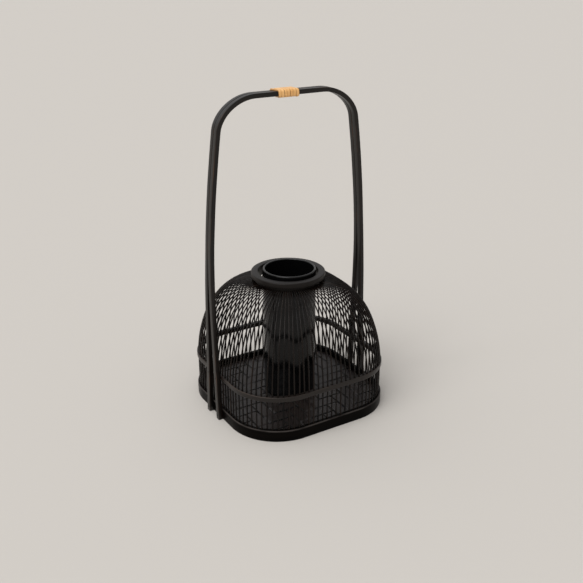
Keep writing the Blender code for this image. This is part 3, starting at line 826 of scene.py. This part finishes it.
LACQUERS = {
    "handle": dict(
        dark=(0.0034, 0.0027, 0.0022), warm=(0.0080, 0.0054, 0.0040), wear_and_painted_light_colour=(0.056, 0.029, 0.017),
        roughness=0.34, spread=0.08, gloss=0.32, coat=0.05,
    ),
    # The hoop's grey-brown edge colour is a painted highlight along its top outer edge
    "hoop": dict(
        dark=(0.0085, 0.0063, 0.0053), warm=(0.016, 0.0108, 0.0083), wear_and_painted_light_colour=(0.040, 0.029, 0.023),
        roughness=0.38, spread=0.07, gloss=0.34, wear_and_painted_light=(0.40, 0.60),
    ),
    "collar": dict(
        dark=(0.0040, 0.0029, 0.0024), warm=(0.0075, 0.0050, 0.0037), wear_and_painted_light_colour=(0.05, 0.03, 0.02),
        roughness=0.36, spread=0.07, gloss=0.23,
    ),
    "rod": dict(
        dark=(0.0012, 0.0010, 0.0009), warm=(0.012, 0.0073, 0.0050), wear_and_painted_light_colour=(0.07, 0.04, 0.02),
        roughness=0.20, spread=0.05, gloss=0.18, fibre=2200.0, bump=0.12,
    ),
    # The base ring's grey edge colour is a painted highlight along its top outer edge
    "base": dict(
        dark=(0.0013, 0.0011, 0.0010), warm=(0.0026, 0.0019, 0.0015), wear_and_painted_light_colour=(0.042, 0.036, 0.033),
        roughness=0.30, spread=0.06, gloss=0.04, wear_and_painted_light=(0.30, 0.52),
    ),
    # The floor strips' near-black edge colour is painted shade in the gaps between strips
    "floor": dict(
        dark=(0.012, 0.0086, 0.0077), warm=(0.021, 0.0150, 0.0130), wear_and_painted_light_colour=(0.002, 0.0016, 0.0014),
        roughness=0.36, spread=0.07, gloss=0.52, wear_and_painted_light=(0.0, 0.1), fibre=1100.0,
    ),
}
LACQUER_FIBRE_SHARE = 0.35
PLASTIC_BLACK = (0.0020, 0.0020, 0.0021)
PLASTIC_DUST = (0.011, 0.010, 0.0095)
RATTAN_TAN = (0.76, 0.395, 0.125)
RATTAN_PALE = (0.92, 0.54, 0.21)
RATTAN_FIBRE = (0.56, 0.29, 0.10)
# Painted shade: the brown laid along each turn's edges, where it meets the next turn
RATTAN_PAINTED_CREASE_SHADE = (0.36, 0.17, 0.055)


def start_material(name):
    material = bpy.data.materials.new(name)
    material.use_nodes = True
    return material, material.node_tree, material.node_tree.nodes["Principled BSDF"]


def set_inputs(node, **values):
    for name, value in values.items():
        node.inputs[name.replace("_", " ")].default_value = value


def read_attribute(tree, name):
    node = tree.nodes.new("ShaderNodeAttribute")
    node.attribute_name = name
    return node


def streaks(tree, along, across, detail):
    """Noise drawn out along the grain."""
    stretch = tree.nodes.new("ShaderNodeVectorMath")
    stretch.operation = "MULTIPLY"
    stretch.inputs[1].default_value = (along, across, across)
    noise = tree.nodes.new("ShaderNodeTexNoise")
    set_inputs(noise, Scale=1.0, Detail=detail, Roughness=0.55)
    tree.links.new(read_attribute(tree, "grain").outputs["Vector"], stretch.inputs[0])
    tree.links.new(stretch.outputs["Vector"], noise.inputs["Vector"])
    return noise.outputs["Fac"]


def speckle(tree, scale, detail):
    """Noise in the piece's own space."""
    place = tree.nodes.new("ShaderNodeTexCoord")
    noise = tree.nodes.new("ShaderNodeTexNoise")
    set_inputs(noise, Scale=scale, Detail=detail)
    tree.links.new(place.outputs["Object"], noise.inputs["Vector"])
    return noise.outputs["Fac"]


def remap(tree, value, low, high, to_low=0.0, to_high=1.0):
    node = tree.nodes.new("ShaderNodeMapRange")
    set_inputs(node, From_Min=low, From_Max=high, To_Min=to_low, To_Max=to_high)
    tree.links.new(value, node.inputs["Value"])
    return node.outputs["Result"]


def combine(tree, operation, first, second):
    node = tree.nodes.new("ShaderNodeMath")
    node.operation = operation
    tree.links.new(first, node.inputs[0])
    tree.links.new(second, node.inputs[1])
    return node.outputs["Value"]


def mix_colours(tree, factor, first, second):
    """Mixes two colours, each given as red, green and blue or as a socket."""
    node = tree.nodes.new("ShaderNodeMix")
    node.data_type = "RGBA"
    tree.links.new(factor, node.inputs["Factor"])
    for name, value in (("A", first), ("B", second)):
        socket = [entry for entry in node.inputs if entry.name == name and entry.type == "RGBA"][0]
        if isinstance(value, tuple):
            socket.default_value = (*value, 1.0)
        else:
            tree.links.new(value, socket)
    return [entry for entry in node.outputs if entry.type == "RGBA"][0]


def add_bump(tree, shader, height, strength, distance):
    bump = tree.nodes.new("ShaderNodeBump")
    set_inputs(bump, Strength=strength, Distance=distance)
    tree.links.new(height, bump.inputs["Height"])
    tree.links.new(bump.outputs["Normal"], shader.inputs["Normal"])


def wear_and_painted_light_mask(tree, low, high):
    """Where an edge is marked: the edge value at the corner, broken up by streaks. On the handle it is
    rubbed-through lacquer; on the base ring and hoop it is a painted highlight, and on the floor strips
    painted shade.
    """
    patches = remap(tree, streaks(tree, along=35.0, across=260.0, detail=4.0), low, high)
    return combine(tree, "MULTIPLY", read_attribute(tree, "wear_and_painted_light").outputs["Fac"], patches)


def make_lacquer(
    name, dark, warm, wear_and_painted_light_colour, roughness, spread, gloss, coat=0.0, wear_and_painted_light=(0.52, 0.72), fibre=900.0, bump=0.2
):
    """Dark lacquer over bamboo: fibres show as fine streaks, and marked edges take the edge colour:
    rubbed-through lacquer on the handle, a painted highlight on the base ring and hoop, painted shade on the
    floor strips.
    """
    material, tree, shader = start_material(name)
    fine = streaks(tree, along=14.0, across=fibre, detail=4.0)
    broad = streaks(tree, along=5.0, across=90.0, detail=2.0)
    body = mix_colours(tree, remap(tree, broad, low=0.35, high=0.7), dark, warm)
    fibre_colour = tuple(LACQUER_FIBRE_SHARE * part for part in dark)
    lined = mix_colours(tree, remap(tree, fine, low=0.5, high=0.75, to_high=0.55), body, fibre_colour)
    colour = mix_colours(tree, wear_and_painted_light_mask(tree, *wear_and_painted_light), lined, wear_and_painted_light_colour)
    tree.links.new(colour, shader.inputs["Base Color"])
    rough = remap(
        tree, combine(tree, "ADD", fine, broad), low=0.7, high=1.35,
        to_low=roughness - spread, to_high=roughness + spread,
    )
    tree.links.new(rough, shader.inputs["Roughness"])
    set_inputs(
        shader, Metallic=0.0, IOR=1.46, Specular_IOR_Level=gloss, Coat_Weight=coat, Coat_Roughness=0.22
    )
    add_bump(tree, shader, fine, strength=bump, distance=0.00012)
    return material


def make_plastic():
    """Glossy black plastic with a faint unevenness and a little dust in its gloss."""
    material, tree, shader = start_material("container_gloss")
    cloud = speckle(tree, scale=70.0, detail=3.0)
    dust = speckle(tree, scale=900.0, detail=2.0)
    dusty = remap(tree, dust, low=0.62, high=0.8, to_high=0.3)
    colour = mix_colours(tree, dusty, PLASTIC_BLACK, PLASTIC_DUST)
    tree.links.new(colour, shader.inputs["Base Color"])
    rough = remap(tree, cloud, low=0.3, high=0.7, to_low=0.09, to_high=0.17)
    tree.links.new(rough, shader.inputs["Roughness"])
    set_inputs(
        shader, Metallic=0.0, IOR=1.5, Specular_IOR_Level=0.26, Coat_Weight=0.1, Coat_Roughness=0.06
    )
    add_bump(tree, shader, cloud, strength=0.05, distance=0.0004)
    return material


def make_rattan():
    """Natural rattan skin: pale tan with fine fibres, and painted shade in brown along each turn's edges,
    where the turns meet.
    """
    material, tree, shader = start_material("rattan_skin")
    fibres = streaks(tree, along=60.0, across=3200.0, detail=4.0)
    patches = streaks(tree, along=55.0, across=300.0, detail=2.0)
    skin = mix_colours(tree, remap(tree, patches, low=0.35, high=0.65), RATTAN_TAN, RATTAN_PALE)
    lines = remap(tree, fibres, low=0.52, high=0.72, to_high=0.5)
    lined = mix_colours(tree, lines, skin, RATTAN_FIBRE)
    edge = read_attribute(tree, "wear_and_painted_light").outputs["Fac"]
    # Painted shade along each turn's edges
    painted_crease_shade = remap(tree, edge, low=0.80, high=1.0, to_high=0.75)
    tree.links.new(mix_colours(tree, painted_crease_shade, lined, RATTAN_PAINTED_CREASE_SHADE), shader.inputs["Base Color"])
    rough = remap(tree, fibres, low=0.3, high=0.7, to_low=0.36, to_high=0.52)
    tree.links.new(rough, shader.inputs["Roughness"])
    set_inputs(shader, Metallic=0.0, IOR=1.48, Coat_Weight=0.15, Coat_Roughness=0.3)
    add_bump(tree, shader, fibres, strength=0.35, distance=0.00010)
    return material


# Stage, light and camera

def make_stage():
    """A plain pale floor that reaches past the camera's view on all sides."""
    half = STAGE_HALF_SIDE
    corners = [(-half, -half, 0), (half, -half, 0), (half, half, 0), (-half, half, 0)]
    mesh = bpy.data.meshes.new("stage_floor")
    mesh.from_pydata(corners, [], [(0, 1, 2, 3)])
    material, _, shader = start_material("pale_floor")
    set_inputs(shader, Base_Color=(*STAGE_PALE, 1.0), Roughness=0.9, Specular_IOR_Level=0.1)
    mesh.materials.append(material)
    floor = bpy.data.objects.new("stage_floor", mesh)
    bpy.context.scene.collection.objects.link(floor)


def make_world():
    """A studio that is bright above and to the left and dim in front, with a pale horizon all round."""
    world = bpy.data.worlds.new("studio")
    bpy.context.scene.world = world
    world.use_nodes = True
    tree = world.node_tree
    place = tree.nodes.new("ShaderNodeTexCoord")
    toward = tree.nodes.new("ShaderNodeVectorMath")
    toward.operation = "DOT_PRODUCT"
    toward.inputs[1].default_value = tuple(WORLD_TOWARD.normalized())
    tree.links.new(place.outputs["Generated"], toward.inputs[0])
    share = remap(tree, toward.outputs["Value"], WORLD_DIM_COSINE, WORLD_BRIGHT_COSINE)
    studio = mix_colours(tree, share, WORLD_DIM, WORLD_BRIGHT)
    axes = tree.nodes.new("ShaderNodeSeparateXYZ")
    tree.links.new(place.outputs["Generated"], axes.inputs["Vector"])
    above = remap(tree, axes.outputs["Z"], HORIZON_BAND, 2 * HORIZON_BAND)
    colour = mix_colours(tree, above, HORIZON, studio)
    tree.links.new(colour, tree.nodes["Background"].inputs["Color"])


def make_sun():
    """The key light: a wide soft source from the upper left."""
    sun = bpy.data.lights.new("key", "SUN")
    sun.energy = SUN_STRENGTH
    sun.angle = math.radians(SUN_ANGLE)
    lamp = bpy.data.objects.new("key", sun)
    lamp.rotation_euler = SUN_FROM.to_track_quat("Z", "Y").to_euler()
    bpy.context.scene.collection.objects.link(lamp)


def make_camera():
    camera = bpy.data.cameras.new("camera")
    camera.lens = CAMERA_LENS
    camera.sensor_width = SENSOR_WIDTH
    holder = bpy.data.objects.new("camera", camera)
    holder.location = CAMERA_PLACE
    holder.rotation_euler = (math.radians(CAMERA_TILT), 0, math.radians(CAMERA_TURN))
    bpy.context.scene.collection.objects.link(holder)
    bpy.context.scene.camera = holder
    bpy.context.scene.view_settings.view_transform = "Standard"


def make_basket():
    lacquers = {name: make_lacquer(f"{name}_lacquer", **looks) for name, looks in LACQUERS.items()}
    make_base_ring(lacquers["base"])
    make_hoop(lacquers["hoop"])
    make_rods(lacquers["rod"])
    make_collar(lacquers["collar"])
    make_container(make_plastic())
    make_handle_strip("handle_front", -1, 1, lacquers["handle"], "handle_strip_front")
    make_handle_strip("handle_rear", 1, 2, lacquers["handle"], "handle_strip_rear")
    pegs = itertools.product(("hoop", "base"), ("left", "right"), ("front", "rear"))
    for number, names in enumerate(pegs, start=3):
        make_peg(number, *names, lacquers["handle"])
    make_binding(make_rattan())
    for number in range(FLOOR_STRIPS):
        for way in ("along", "across"):
            make_floor_strip(number, way, lacquers["floor"])


make_camera()
make_stage()
make_world()
make_sun()
make_basket()
